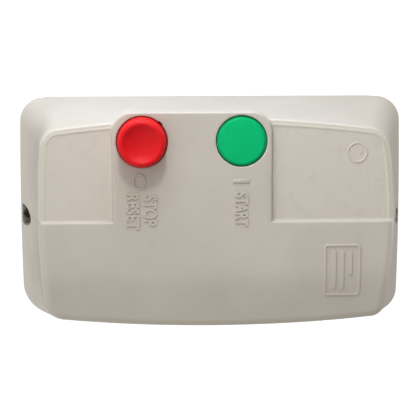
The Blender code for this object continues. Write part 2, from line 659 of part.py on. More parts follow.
def make_joints():
    cover = make_joint("cover_joint", 0, RIM_DEPTH, 0)
    x, z = UNIT_LEFT + 22.5, sum(CORE_Z) / 2
    return {
        "cover": cover,
        "start": make_joint("start_joint", START_AT[0], FACE_DEPTH, START_AT[1]),
        "stop": make_joint("stop_joint", STOP_AT[0], FACE_DEPTH, STOP_AT[1]),
        "carrier": make_joint("carrier_joint", x, 43.0, z),
        "plunger": make_joint("start_contact_joint", START_AT[0], 81.0, START_AT[1]),
        "reset": make_joint("reset_joint", STOP_AT[0], RELAY_FRONT, STOP_AT[1]),
        "trip_bar": make_joint("trip_bar_joint", -28.0, 51.3, -26.0),
        "dial": make_joint("dial_joint", DIAL_AT[0], RELAY_FRONT, DIAL_AT[1]),
        "clip": make_joint("rail_clip_joint", -27.5, 10.5, 3.0),
    }


def main():
    clear_scene()
    finishes = make_finishes()
    joints = make_joints()
    make_base(finishes["shell"])
    make_gasket(finishes["rubber"])
    make_cover(finishes["shell"], joints["cover"])
    make_cover_screws(finishes["steel"], joints["cover"])
    make_push_buttons(finishes, joints["cover"], joints["start"], joints["stop"])
    make_rail(finishes["steel"], finishes["zinc"])
    make_earth_terminal(finishes["brass"])
    make_contactor_housing(finishes["black"], finishes["grey"])
    make_magnet(finishes["steel"], finishes["copper"], joints["carrier"])
    make_carrier(finishes["black"], finishes["copper"], finishes["steel"], joints["carrier"])
    make_power_terminals(finishes["copper"], finishes["steel"])
    make_rail_clip(finishes["nylon"], joints["clip"])
    make_start_contact(finishes["grey"], finishes["nylon"], joints["plunger"])
    make_relay_housing(finishes["black"], finishes["grey"])
    make_relay_poles(finishes["copper"], finishes["bimetal"], finishes["steel"])
    make_relay_controls(finishes["nylon"], finishes["blue"], joints)


main()
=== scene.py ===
"""Looks of an enclosed motor starter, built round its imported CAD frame.

Sizes are in millimetres and MM turns them into metres. The wall is the plane y = 0, the enclosure's front
faces -Y and +Z is up. "Depth" means the distance in front of the wall, so a depth d lies at y = -d.
"""

import json
import math

import bmesh
import bpy
import numpy as np
from mathutils import Matrix, Vector, geometry


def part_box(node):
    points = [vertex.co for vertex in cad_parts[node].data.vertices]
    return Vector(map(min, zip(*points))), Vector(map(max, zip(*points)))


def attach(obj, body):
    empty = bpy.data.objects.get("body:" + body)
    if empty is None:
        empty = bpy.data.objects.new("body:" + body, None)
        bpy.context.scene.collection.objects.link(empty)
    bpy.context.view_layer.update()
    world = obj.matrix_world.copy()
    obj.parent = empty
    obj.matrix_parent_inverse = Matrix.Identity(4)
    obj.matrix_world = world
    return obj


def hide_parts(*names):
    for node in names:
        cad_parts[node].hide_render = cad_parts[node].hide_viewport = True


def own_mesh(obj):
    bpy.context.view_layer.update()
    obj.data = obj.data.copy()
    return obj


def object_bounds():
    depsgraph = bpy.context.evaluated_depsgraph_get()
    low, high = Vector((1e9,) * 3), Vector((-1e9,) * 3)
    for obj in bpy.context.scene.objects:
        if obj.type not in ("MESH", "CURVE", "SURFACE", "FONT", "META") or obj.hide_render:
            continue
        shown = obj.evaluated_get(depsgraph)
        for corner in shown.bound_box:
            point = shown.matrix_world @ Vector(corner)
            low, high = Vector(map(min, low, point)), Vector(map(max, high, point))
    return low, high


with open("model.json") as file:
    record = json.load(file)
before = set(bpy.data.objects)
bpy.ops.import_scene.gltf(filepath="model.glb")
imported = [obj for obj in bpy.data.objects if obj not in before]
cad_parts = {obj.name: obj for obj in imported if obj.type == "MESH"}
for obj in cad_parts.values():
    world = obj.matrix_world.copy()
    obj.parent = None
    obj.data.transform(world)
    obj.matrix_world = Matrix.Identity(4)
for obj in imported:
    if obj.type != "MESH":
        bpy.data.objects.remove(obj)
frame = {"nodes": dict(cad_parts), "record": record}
cad_low, cad_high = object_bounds()

MM = 0.001


def middle_of(node):
    """The (x, z) of a CAD node's middle, in millimetres."""
    low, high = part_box(node)
    return ((low.x + high.x) / 2 / MM, (low.z + high.z) / 2 / MM)


# ---- sizes, in millimetres

BASE_DEPTH, RIM_DEPTH, EDGE_DEPTH, PANEL_DEPTH, FACE_DEPTH = 38.0, 38.3, 97.0, 100.5, 103.0
RIM_EASE = 0.3  # height of the bevel along the cover's rim
WALL, BASE_WALL, FLOOR = 2.6, 3.0, 3.0
BASE_TAPER = 1.5  # how much the base narrows from the parting line to the wall
# outlines: (left, right, half height, radii left, upper right, lower right, bulges left, right, upwards,
# downwards, and how much shorter the right side is than the middle)
PARTING = (61.6, 57.2, 101.9, 12.5, 12.8, 17.6, 0.0, 0.0, 0.009, 0.009, 0.0)
FRONT = (48.7, 45.95, 85.0, 8.0, 5.0, 8.0, 0.125, 0.106, 0.06, 0.034, 0.0083)
TAB = (-57.2, 20.0, -50.4, 28.1, 10.0)  # left, right, bottom, top, corner radius
STEP_X = -3.0
SLOPE_X, SLOPE_ANGLE, FOLD_SOFTNESS = 26.0, math.radians(13.5), 2.4
END_COVE = 0.1  # how much the end walls sag inwards, as a share of their lean
SMALLEST_CORNER = 1.0
PANEL_ROUNDING, FACE_ROUNDING = 1.0, 3.2
BEAD_AT, BEAD_WIDTH, BEAD_HEIGHT = 2.5, 0.52, 0.32  # low ridge that follows the panels' outer edge
STEP_ROUNDING, STEP_FILLET, STEP_DRAFT = 0.7, 0.5, 0.45
CLIFF = 0.03  # plan width of a wall that stands almost upright
START_AT, STOP_AT = middle_of("start_button"), middle_of("stop_button")
CAP_RADIUS, BORE_RADIUS, SLEEVE_RADIUS, SLEEVE_DEPTH = 12.25, 12.7, 14.0, 86.0
BORE_ROUNDING = 0.45
BUTTONS = (START_AT, STOP_AT)
WELL_Z, WELL_RADIUS, WELL_FLOOR, WELL_ROUNDING = 99.5, 5.3, 43.0, 0.4
WELLS, SCREWS = ((0, -WELL_Z), (0, WELL_Z)), ((0, -98.4), (0, 98.4))
WELL_BOSS_RADIUS, BASE_BOSS_RADIUS, PILLAR_RADIUS = 8.0, 5.5, 5.0
COVER_SCREW_HOLE, BASE_SCREW_HOLE, WALL_FIXING_HOLE = 1.9, 1.8, 2.6  # radii
RAIL_Z, RAIL_SCREW_X = 29.0, (-48.0, 44.0)
EARTH_AT = (35.0, -60.0)
WALL_FIXING_X, WALL_FIXING_Z = 42, 80
KNOCKOUT_X, KNOCKOUT_DEPTH, KNOCKOUT_RADII = 26, 19.0, (9.2, 10.2)
NOTCH_SIZE = (2.6, 0.7)  # width and length of the keying notch beside the red button

# raised marks: boxes are (left, right, bottom, top)
ROOTED = 0.2  # how deep a mark goes into the surface it stands on
MARK_EDGE, RING_EDGE = 0.2, 0.15  # widths of the bevel round a mark's top
MARK_RELIEF, RING_RELIEF, PLATE_RELIEF = 0.6, 0.35, 0.5
ON_BAR = (-24.2, -22.5, 8.9, 16.9)
OFF_AT, OFF_RADII, OFF_RELIEF, OFF_SQUEEZE = (-23.2, -37.2), (3.2, 4.1), 0.4, 0.78
WORDS = (
    ("mark_start", "START", (-17.8, -1.0, 9.7, 16.3)),
    ("mark_stop", "STOP", (-16.6, -1.4, -35.3, -28.7)),
    ("mark_reset", "RESET", (-17.6, 0.4, -43.9, -37.3)),
)
RING_AT, RING_RADII = (-36.9, 70.4), (4.3, 5.1)  # moulder's mark on the upper panel
PLATE, PLATE_FRAME = (8.4, 35.0, 54.0, 72.4), 1.3
PLATE_RIBS = ((12.0, 31.4, 58.2), (12.0, 31.4, 62.2), (12.0, 24.0, 66.2))  # left, right, bottom
RIB_WIDTH, RIB_STEP = 2.0, 1.5

# buttons and springs
STEM_RADIUS, SKIRT_DEPTH, CAP_WALL, CAP_THICKNESS = 4.0, 95.0, 1.8, 2.2
CLIP_GROOVE = (3.0, 86.0, 87.2)  # radius, back, front
SPRINGS = (  # node, at, depths, radius, wire, joint, share left when squashed, body it rides on
    ("start_spring", START_AT, (90.0, 101.0), 6.4, 0.9, "start_press", 0.59, "cover"),
    ("stop_spring", STOP_AT, (90.0, 109.7), 6.4, 0.9, "stop_press", 0.746, "cover"),
    ("return_spring_upper", (-27.5, 41.3), (33.3, 43.0), 2.4, 0.6, "armature_pull", 0.515, "enclosure"),
    ("return_spring_lower", (-27.5, 16.7), (33.3, 43.0), 2.4, 0.6, "armature_pull", 0.515, "enclosure"),
)

# light: strengths of the sky, of the floor's own glow, and of what the camera sees behind the object
SKY_LIGHT, FLOOR_GLOW, BACKDROP = 0.4, 0.84, 1.1
WHITE = (1.0, 1.0, 1.0, 1.0)


# ---- meshes

SHARP_ANGLE = 35.0  # degrees


def shade(mesh, sharp):
    """Smooth shading except at edges sharper than the angle."""
    mesh.shade_smooth()
    mesh.set_sharp_from_angle(angle=math.radians(sharp))


def to_scene(obj):
    """Links an object to the scene, so that it shows."""
    bpy.context.scene.collection.objects.link(obj)


def new_object(name, bm, material, sharp=SHARP_ANGLE):
    """Object from a bmesh in millimetres, shaded smooth except at edges sharper than the angle."""
    bmesh.ops.recalc_face_normals(bm, faces=bm.faces)
    bmesh.ops.scale(bm, vec=(MM, MM, MM), verts=bm.verts)
    mesh = bpy.data.meshes.new(name)
    bm.to_mesh(mesh)
    bm.free()
    mesh.materials.append(material)
    shade(mesh, sharp)
    obj = bpy.data.objects.new(name, mesh)
    to_scene(obj)
    return obj


def solid_through(outlines, hoop=False):
    """Solid through rings of points, capped at both ends; a hoop joins its last ring to its first instead."""
    bm = bmesh.new()
    rings = [[bm.verts.new(point) for point in outline] for outline in outlines]
    following = rings[1:] + rings[:1] if hoop else rings[1:]
    for first, second in zip(rings, following):
        for i in range(len(first)):
            j = (i + 1) % len(first)
            bm.faces.new((first[i], first[j], second[j], second[i]))
    if not hoop:
        bm.faces.new(rings[0])
        bm.faces.new(rings[-1])
    return bm


def loft(sections):
    """Closed solid through outlines of (x, z) points, given as (depth, points) from back to front."""
    return solid_through([[(x, -depth, z) for x, z in points] for depth, points in sections])


def turned(profile, centre, steps=128):
    """Solid of revolution about the line through (x, z) = centre; the profile is a closed (radius, depth)
    outline, and points of radius 0 lie on the axis."""
    bm = bmesh.new()
    rings = []
    angles = [2 * math.pi * i / steps for i in range(steps)]
    for radius, depth in profile:
        if radius == 0:
            rings.append([bm.verts.new((centre[0], -depth, centre[1]))])
            continue
        around = [(centre[0] + radius * math.cos(a), centre[1] + radius * math.sin(a)) for a in angles]
        rings.append([bm.verts.new((x, -depth, z)) for x, z in around])
    for first, second in zip(rings, rings[1:] + rings[:1]):
        for i in range(steps):
            j = (i + 1) % steps
            m, n = len(first), len(second)
            corners = dict.fromkeys((first[i % m], first[j % m], second[j % n], second[i % n]))
            if len(corners) > 2:
                bm.faces.new(corners)
    return bm


def cylinder(radius, depth, centre, steps=64):
    return turned([(0, depth[0]), (radius, depth[0]), (radius, depth[1]), (0, depth[1])], centre, steps)


def tube(inner, outer, depth, centre, steps=128):
    profile = [(inner, depth[0]), (outer, depth[0]), (outer, depth[1]), (inner, depth[1])]
    return turned(profile, centre, steps)


def merged(pieces):
    """One bmesh of several that don't touch."""
    whole = bmesh.new()
    for bm in pieces:
        mesh = bpy.data.meshes.new("merge")
        bm.to_mesh(mesh)
        bm.free()
        whole.from_mesh(mesh)
        bpy.data.meshes.remove(mesh)
    return whole


def boolean(obj, operation, bm):
    """Cuts or joins a solid, at once, so that no helper is left."""
    helper = new_object("helper", bm, obj.data.materials[0])
    modifier = obj.modifiers.new("boolean", "BOOLEAN")
    modifier.operation = operation
    modifier.solver = "EXACT"
    modifier.object = helper
    graph = bpy.context.evaluated_depsgraph_get()
    mesh = bpy.data.meshes.new_from_object(obj.evaluated_get(graph))
    obj.modifiers.clear()
    old, obj.data = obj.data, mesh
    bpy.data.meshes.remove(old)
    bpy.data.objects.remove(helper, do_unlink=True)
    shade(mesh, SHARP_ANGLE)


def cut(obj, bm):
    boolean(obj, "DIFFERENCE", bm)


def join(obj, bm):
    boolean(obj, "UNION", bm)


def bmesh_of(obj):
    """The mesh of a helper object in millimetres; the object itself is removed."""
    bm = bmesh.new()
    bm.from_mesh(obj.data)
    bmesh.ops.scale(bm, vec=(1 / MM, 1 / MM, 1 / MM), verts=bm.verts)
    bpy.data.objects.remove(obj, do_unlink=True)
    return bm


def arc(x, z, radius, start, end, steps):
    angles = [math.radians(start + (end - start) * i / steps) for i in range(steps + 1)]
    return [(x + radius * math.cos(a), z + radius * math.sin(a)) for a in angles]


def rounded_rectangle(left, right, low, high, radius, steps=16):
    left, right, low, high = left + radius, right - radius, low + radius, high - radius
    points = []
    for quarter, (x, z) in enumerate(((right, high), (left, high), (left, low), (right, low))):
        points += arc(x, z, radius, 90 * quarter, 90 * quarter + 90, steps)
    return points


# ---- the housing's outline


UNBULGE_STEPS, HALVINGS = 8, 26  # rounds of the two searches below


def shape_at(depth):
    """The outline's numbers at a depth, between those of PARTING and FRONT."""
    share = (depth - BASE_DEPTH) / (EDGE_DEPTH - BASE_DEPTH)
    shape = [a + (b - a) * share for a, b in zip(PARTING, FRONT)]
    shape[2] = PARTING[2] + (FRONT[2] - PARTING[2]) * (share + END_COVE * share * (1 - share))
    return shape


def housing_outline(shape, inset=0.0, sides=28, steps=18):
    """Rounded rectangle whose sides bulge outwards, as (x, z) points."""
    left, right, half, r_left, r_right, r_low, bulge_left, bulge_right, bulge_up, bulge_down, lean = shape
    left, right, half = left - inset, right - inset, half - inset
    r_left, r_right, r_low = [max(r - inset, SMALLEST_CORNER) for r in (r_left, r_right, r_low)]
    corners = [
        arc(right - r_right, half - r_right, r_right, 0, 90, steps),
        arc(-left + r_left, half - r_left, r_left, 90, 180, steps),
        arc(-left + r_left, -half + r_left, r_left, 180, 270, steps),
        arc(right - r_low, -half + r_low, r_low, 270, 360, steps),
    ]
    points = []
    for corner, following in zip(corners, corners[1:] + corners[:1]):
        points += corner
        (x0, z0), (x1, z1) = corner[-1], following[0]
        points += [(x0 + (x1 - x0) * i / sides, z0 + (z1 - z0) * i / sides) for i in range(1, sides)]
    bulged = []
    for x, z in points:
        side, width = (bulge_right, right) if x > 0 else (bulge_left, left)
        end = bulge_up if z > 0 else bulge_down
        longer = (1 + end * (1 - (x / width) ** 2)) * (1 - lean * x / width)
        bulged.append((x * (1 + side * (1 - (z / half) ** 2)), z * longer))
    return bulged


def wall_outline(depth, inset=0.0):
    return housing_outline(shape_at(depth), inset)


def spaced(points, spacing):
    """Closed line through the points, cut into equal steps near the spacing."""
    line = np.array([*points, points[0]])
    along = np.concatenate([[0], np.cumsum(np.hypot(*np.diff(line, axis=0).T))])
    count = max(12, round(along[-1] / spacing))
    at = np.linspace(0, along[-1], count, endpoint=False)
    return np.column_stack([np.interp(at, along, line[:, 0]), np.interp(at, along, line[:, 1])])


def box_distance(x, z, half_x, half_z, radius):
    """Signed distance from a rounded rectangle about the origin, positive outside."""
    dx, dz = np.abs(x) - (half_x - radius), np.abs(z) - (half_z - radius)
    return np.hypot(np.maximum(dx, 0), np.maximum(dz, 0)) + np.minimum(np.maximum(dx, dz), 0) - radius


def wall_distance(x, z, depth):
    """Distance outside the drafted wall at each point's own depth."""
    shape = shape_at(depth)
    left, right, half, r_left, r_right, r_low, bulge_left, bulge_right, bulge_up, bulge_down, lean = shape
    on_right = x > 0
    width = np.where(on_right, right, left)
    radius = np.where(on_right, np.where(z > 0, r_right, r_low), r_left)
    bulge, end = np.where(on_right, bulge_right, bulge_left), np.where(z > 0, bulge_up, bulge_down)
    flat_x, flat_z, least = x, z, -0.3
    for _ in range(UNBULGE_STEPS):
        flat_x = x / (1 + bulge * np.clip(1 - (flat_z / half) ** 2, least, 1))
        longer = 1 + end * np.clip(1 - (flat_x / width) ** 2, least, 1)
        flat_z = z / (longer * (1 - lean * flat_x / width))
    return box_distance(flat_x, flat_z, width, half, np.maximum(radius, SMALLEST_CORNER))


def rounded_height(x, z, level, rounding):
    """Depth of the surface that rounds the drafted wall into a face at the level."""
    low, high = np.full_like(x, RIM_DEPTH), np.array(level)
    for _ in range(HALVINGS):
        middle = (low + high) / 2
        inside, below = -wall_distance(x, z, middle), level - middle
        corner = np.hypot(np.maximum(rounding - inside, 0), np.maximum(rounding - below, 0))
        outside = corner > rounding
        high, low = np.where(outside, middle, high), np.where(outside, low, middle)
    return (low + high) / 2


def edge_drop(outwards, rounding):
    """How far a rounded edge falls at a signed distance outwards from the edge."""
    t = np.clip(outwards + rounding, 0, rounding)
    return rounding - np.sqrt(np.maximum(rounding**2 - t**2, 0))


def tab_distance(x, z):
    left, right, low, high, radius = TAB
    half_x, half_z = (right - left) / 2, (high - low) / 2
    return box_distance(x - (left + right) / 2, z - (low + high) / 2, half_x, half_z, radius)


def face_level(x):
    """Depth of the raised face, which folds back softly on its right."""
    return FACE_DEPTH - math.tan(SLOPE_ANGLE) * FOLD_SOFTNESS * np.logaddexp(0, (x - SLOPE_X) / FOLD_SOFTNESS)


def cover_height(x, z):
    """Depth of the cover's outside at each (x, z)."""
    height = rounded_height(x, z, np.full_like(x, PANEL_DEPTH), PANEL_ROUNDING)
    inside = -wall_distance(x, z, np.full_like(x, PANEL_DEPTH))
    height = height + BEAD_HEIGHT * np.exp(-(((inside - BEAD_AT) / BEAD_WIDTH) ** 2))
    step, tab = STEP_X - x, tab_distance(x, z)
    nearest = np.clip(np.minimum(step, tab) - STEP_DRAFT, 0, STEP_FILLET)
    height = height + STEP_FILLET - np.sqrt(STEP_FILLET**2 - (STEP_FILLET - nearest) ** 2)
    face = rounded_height(x, z, face_level(x), FACE_ROUNDING) - edge_drop(step, STEP_ROUNDING)
    height = np.where(step < CLIFF / 2, face, height)
    raised = FACE_DEPTH - edge_drop(tab, STEP_ROUNDING)
    height = np.where((tab < CLIFF / 2) & (x < STEP_X + 1), np.maximum(height, raised), height)
    for at in BUTTONS:
        height = height - edge_drop(BORE_RADIUS - np.hypot(x - at[0], z - at[1]), BORE_ROUNDING)
    for at in WELLS:
        away = np.hypot(x, z - at[1])
        height = height - edge_drop(WELL_RADIUS - away, WELL_ROUNDING)
        height = np.where(away < WELL_RADIUS - CLIFF / 2, np.minimum(height, WELL_FLOOR), height)
    return height


# ---- cover


def circle(at, radius, spacing):
    return spaced(arc(at[0], at[1], radius, 0, 360, 180)[:-1], spacing)


def drop_offsets(rounding, count):
    """Distances outwards from a rounded edge at which it is sampled."""
    return [-rounding * (1 - math.sin(math.pi / 2 * i / count)) for i in range(count + 1)]


def offset_tab(offset, spacing):
    left, right, low, high, radius = TAB
    outline = rounded_rectangle(left - offset, right + offset, low - offset, high + offset, radius + offset)
    return spaced(outline, spacing)


def clear_of_features(points, gap):
    """The points that keep away from the lines where the surface turns sharply."""
    x, z = points.T
    free = (np.abs(tab_distance(x, z)) > gap) | (x > STEP_X + gap)
    free &= (np.abs(x - STEP_X) > gap) | (tab_distance(x, z) < -gap)
    for at in BUTTONS:
        free &= np.abs(np.hypot(x - at[0], z - at[1]) - BORE_RADIUS) > gap
    for at in WELLS:
        free &= np.abs(np.hypot(x, z - at[1]) - WELL_RADIUS) > gap
    return points[free]


def cover_grid(spacing):
    """Sample points of the front's flat parts, away from where the walls round into it."""
    xs, zs = np.meshgrid(np.arange(-56, 50, spacing), np.arange(-92, 92.1, spacing))
    x, z = xs.ravel(), zs.ravel()
    inside = -wall_distance(x, z, np.full(len(x), PANEL_DEPTH))
    wanted = (inside > 6.2) | ((tab_distance(x, z) < -1.5) & (x < STEP_X))
    return np.column_stack([x, z])[wanted]


class Samples:
    """Points of the cover's plan, and the lines between them that its mesh has to follow."""

    def __init__(self):
        self.points, self.edges = [], []

    def add(self, points, closed=None):
        """Loose points, or with closed True or False a closed or an open line."""
        start, count = len(self.points), len(points)
        self.points.extend(Vector(p) for p in points)
        if closed is not None:
            self.edges.extend((start + i, start + i + 1) for i in range(count - 1))
        if closed:
            self.edges.append((start + count - 1, start))

    def add_feature(self, points, wanted=True, closed=None):
        """The wanted points inside the rim; a closed line that this interrupts becomes an open one."""
        wanted = wanted & (wall_distance(*points.T, np.full(len(points), RIM_DEPTH + RIM_EASE)) < -0.4)
        if closed is None or wanted.all():
            self.add(points[wanted], closed)
        else:
            order = np.roll(np.arange(len(points)), -int(np.argmin(wanted)))
            self.add(points[[i for i in order if wanted[i]]], False)


def sample_walls(samples):
    """Rows of points along the walls, close together at the crease with the front and across the bead."""
    gap = 0.7
    for depth in (43, 50, 57, 64, 71, 78, 84, 88, 91):
        samples.add(clear_of_features(spaced(wall_outline(depth), 2.0), gap))
    outside, crease, bead = np.arange(-3.9, -0.7, 0.3), np.arange(-0.6, 1.1, 0.15), np.arange(1.3, 3.8, 0.2)
    for inset in (*outside, *crease, *bead, 4.4, 5.0, 5.6):
        samples.add(clear_of_features(spaced(wall_outline(PANEL_DEPTH, inset), 1.3), gap))


def sample_step(samples):
    """Lines along the edge of the raised face, from its rounded top to its filleted foot."""
    offsets = drop_offsets(STEP_ROUNDING, 6) + [STEP_DRAFT]
    offsets += [STEP_FILLET * (1 - math.cos(math.pi / 2 * i / 4)) + STEP_DRAFT for i in range(1, 5)]
    for offset in offsets:
        closed = False if 0 <= offset <= STEP_DRAFT else None
        around = offset_tab(offset, 0.8)
        samples.add_feature(around, around[:, 0] < STEP_X - offset, closed)
        ends = np.arange(-100, 100.01, 0.9)
        for part in (ends[ends > TAB[3] + offset], ends[ends < TAB[2] - offset]):
            part = np.concatenate([part, [TAB[3] + offset if part[0] > 0 else TAB[2] - offset]])
            part.sort()
            samples.add_feature(np.column_stack([np.full(len(part), STEP_X - offset), part]), closed=closed)


def sample_openings(samples):
    """Circles round the button openings and the screw wells."""
    for at in BUTTONS:
        for offset in (-0.12, 0.05, 0.12, 0.25, 0.45, 0.9):
            samples.add(circle(at, BORE_RADIUS + offset, 0.8))
    for at in WELLS:
        for offset in (-0.9, -CLIFF, 0.0, 0.05, 0.12, 0.25, 0.4):
            closed = True if -CLIFF <= offset <= 0 else None
            samples.add_feature(circle(at, WELL_RADIUS + offset, 0.6), closed=closed)


def close_back(bm, border):
    """Bevels the block inwards from the rim's border and closes it at RIM_DEPTH."""
    lower = []
    for vert in border:
        x, z = vert.co.x, vert.co.z
        shrink = RIM_EASE / math.hypot(x, z)
        lower.append(bm.verts.new((x * (1 - shrink), -RIM_DEPTH, z * (1 - shrink))))
    count = len(border)
    for i in range(count):
        j = (i + 1) % count
        bm.faces.new((border[i], border[j], lower[j], lower[i]))
    hub = bm.verts.new((0, -RIM_DEPTH, 0))
    for i in range(count):
        bm.faces.new((lower[i], lower[(i + 1) % count], hub))


def cover_skin():
    """Solid block whose outside is the cover's, flat at the rim."""
    samples = Samples()
    samples.add(spaced(wall_outline(RIM_DEPTH + RIM_EASE), 1.6), closed=True)
    rim_count = len(samples.points)
    sample_walls(samples)
    samples.add(clear_of_features(cover_grid(2.2), 1.3))
    sample_step(samples)
    sample_openings(samples)
    found = geometry.delaunay_2d_cdt(samples.points, samples.edges, [], 0, 1e-5)
    plan, triangles, original = np.array([tuple(v) for v in found[0]]), found[2], found[3]
    height = cover_height(plan[:, 0], plan[:, 1])
    rim = {source: i for i, sources in enumerate(original) for source in sources if source < rim_count}
    height[list(rim.values())] = RIM_DEPTH + RIM_EASE
    bm = bmesh.new()
    verts = [bm.verts.new((x, -h, z)) for (x, z), h in zip(plan, height)]
    smallest_area = 1e-6
    for a, b, c in triangles:
        if abs(np.cross(plan[b] - plan[a], plan[c] - plan[a])) / 2 > smallest_area:
            bm.faces.new((verts[a], verts[b], verts[c]))
    loose = [v for v in bm.verts if not v.link_faces]
    bmesh.ops.delete(bm, geom=loose, context="VERTS")
    close_back(bm, [verts[rim[i]] for i in range(rim_count)])
    return bm


def prism_along_z(outline, low, high):
    """Prism of an (x, depth) outline between two heights."""
    return solid_through([[(x, -depth, z) for x, depth in outline] for z in (low, high)])


def cover_cavity(plastic):
    """Inside of the cover, with a thicker front and material left round the screw wells."""
    hollow = [(RIM_DEPTH - 3, wall_outline(RIM_DEPTH, WALL))]
    hollow += [(d, wall_outline(d, WALL)) for d in (RIM_DEPTH, 50, 62, 74, 84, 92)]
    hollow.append((95.5, wall_outline(95.5, WALL + 0.5)))
    hollow.append((PANEL_DEPTH - WALL, wall_outline(EDGE_DEPTH, WALL + 2.4)))
    cavity = new_object("cavity", loft(hollow), plastic)
    cut(cavity, merged([cylinder(WELL_BOSS_RADIUS, (30, 64), at) for at in WELLS]))
    reach, beyond = 40.0, 115
    low = FACE_DEPTH - reach * math.tan(SLOPE_ANGLE)
    slope = [(SLOPE_X, FACE_DEPTH), (SLOPE_X + reach, low), (SLOPE_X + reach, beyond), (SLOPE_X, beyond)]
    cut(cavity, prism_along_z([(x - 0.5, d - WALL - 0.4) for x, d in slope], -110, 110))
    return cavity


def make_cover(plastic):
    cover = new_object("cover_shell", cover_skin(), plastic)
    cut(cover, bmesh_of(cover_cavity(plastic)))
    sleeves = [tube(BORE_RADIUS, SLEEVE_RADIUS, (SLEEVE_DEPTH, 99.6), at) for at in BUTTONS]
    join(cover, merged(sleeves))
    holes = [cylinder(BORE_RADIUS, (SLEEVE_DEPTH - 1, 110), at, 128) for at in BUTTONS]
    holes += [cylinder(COVER_SCREW_HOLE, (30, 50), at, 32) for at in SCREWS]
    cut(cover, merged(holes))
    cut(cover, keying_notch())
    return cover


def keying_notch():
    """Small slot in the edge of the red button's opening, towards its upper left."""
    width, length = NOTCH_SIZE
    half, near, far = width / 2, BORE_RADIUS - 1.0, BORE_RADIUS + length
    tilt = math.radians(135)
    outline = []
    for along, across in ((near, -half), (far, -half), (far, half), (near, half)):
        x = STOP_AT[0] + along * math.cos(tilt) - across * math.sin(tilt)
        outline.append((x, STOP_AT[1] + along * math.sin(tilt) + across * math.cos(tilt)))
    return loft([(99.0, outline), (110.0, outline)])


# ---- raised marks


def raised_word(name, text, box, material):
    """Raised word that fills a box on the face, reading along +x."""
    left, right, low, high = box
    curve = bpy.data.curves.new(name, "FONT")
    curve.body = text
    curve.resolution_u = 6
    curve.extrude = 0.5
    curve.offset = 0.026
    holder = bpy.data.objects.new(name + "_curve", curve)
    to_scene(holder)
    graph = bpy.context.evaluated_depsgraph_get()
    mesh = bpy.data.meshes.new_from_object(holder.evaluated_get(graph))
    bpy.data.objects.remove(holder, do_unlink=True)
    places = np.array([v.co for v in mesh.vertices])
    smallest, largest = places.min(0), places.max(0)
    bm = bmesh.new()
    bm.from_mesh(mesh)
    bpy.data.meshes.remove(mesh)
    for v in bm.verts:
        across, up, out = [(c - a) / (b - a) for c, a, b in zip(v.co, smallest, largest)]
        depth = FACE_DEPTH - ROOTED + out * (MARK_RELIEF + ROOTED)
        v.co = (left + across * (right - left), -depth, low + up * (high - low))
    bmesh.ops.remove_doubles(bm, verts=bm.verts, dist=1e-4)
    return new_object(name, bm, material, 30)


def raised_bar(left, right, low, high, level, relief, rounding, edge=MARK_EDGE):
    """Low pad with rounded corners and a rounded top edge."""
    sections = []
    for drop, inset in ((relief + ROOTED, 0), (edge, 0), (edge * 0.3, edge * 0.3), (0, edge)):
        corner = max(rounding - inset, 0.05)
        outline = rounded_rectangle(left + inset, right - inset, low + inset, high - inset, corner, 6)
        sections.append((level + relief - drop, outline))
    return loft(sections)


def raised_ring(at, inner, outer, level, relief):
    """Low ring with bevelled top edges."""
    foot, top, edge = level - ROOTED, level + relief, RING_EDGE
    profile = [(inner, foot), (outer, foot), (outer, top - edge), (outer - edge, top)]
    return turned([*profile, (inner + edge, top), (inner, top - edge)], at, 72)


def draped_bar(left, right, low, high):
    """Straight rib along x that follows the face where it folds back."""
    relief, edge = PLATE_RELIEF, MARK_EDGE
    count = max(2, round((right - left) / RIB_STEP))
    stations = [(left, edge)]
    stations += [(left + edge + (right - left - 2 * edge) * i / count, 0.0) for i in range(count + 1)]
    stations.append((right, edge))
    rings = []
    for x, drop in stations:
        level = float(face_level(x))
        top = level + relief - drop
        shoulder = top - edge if drop == 0 else top - 0.02
        section = [(low, level - ROOTED), (low, shoulder), (low + edge, top)]
        section += [(high - edge, top), (high, shoulder), (high, level - ROOTED)]
        rings.append([(x, -depth, z) for z, depth in section])
    return solid_through(rings)


def draped_frame(left, right, low, high, width):
    """Rectangular frame that follows the face where it folds back."""
    relief, edge = PLATE_RELIEF, MARK_EDGE
    x, z = (left + right) / 2, (low + high) / 2
    half_x, half_z = (right - left) / 2, (high - low) / 2
    corner, no_bulge = 1.8, (0.0, 0.0, 0.0, 0.0, 0.0)
    shape = (half_x, half_x, half_z, corner, corner, corner, *no_bulge)
    rise = ((0.0, -ROOTED), (0.0, relief - edge), (edge, relief), (width - edge, relief))
    rings = []
    for inset, lift in (*rise, (width, relief - edge), (width, -ROOTED)):
        points = [(x + px, z + pz) for px, pz in housing_outline(shape, inset, 20, 5)]
        rings.append([(px, -float(face_level(px)) - lift, pz) for px, pz in points])
    return solid_through(rings, hoop=True)


def make_plate(plastic):
    """Plain raised frame round three ribs of different lengths."""
    pieces = [draped_frame(*PLATE, PLATE_FRAME)]
    for left, right, low in PLATE_RIBS:
        pieces.append(draped_bar(left, right, low, low + RIB_WIDTH))
    return new_object("plain_plate", merged(pieces), plastic)


def make_off_ring(plastic):
    """The O sign: a ring that is lower than it is wide."""
    ring = raised_ring((0.0, 0.0), *OFF_RADII, 0.0, OFF_RELIEF)
    bmesh.ops.scale(ring, vec=(1.0, 1.0, OFF_SQUEEZE), verts=ring.verts)
    bmesh.ops.translate(ring, vec=(OFF_AT[0], -FACE_DEPTH, OFF_AT[1]), verts=ring.verts)
    return new_object("mark_off", ring, plastic)


def make_panel_ring(plastic):
    """Moulder's ring with a short tick inside."""
    x, z = RING_AT
    tick = raised_bar(x - 1.9, x + 0.9, z + 1.6, z + 2.2, PANEL_DEPTH, RING_RELIEF, 0.2, RING_EDGE)
    ring = raised_ring(RING_AT, *RING_RADII, PANEL_DEPTH, RING_RELIEF)
    return new_object("mark_ring", merged([ring, tick]), plastic)


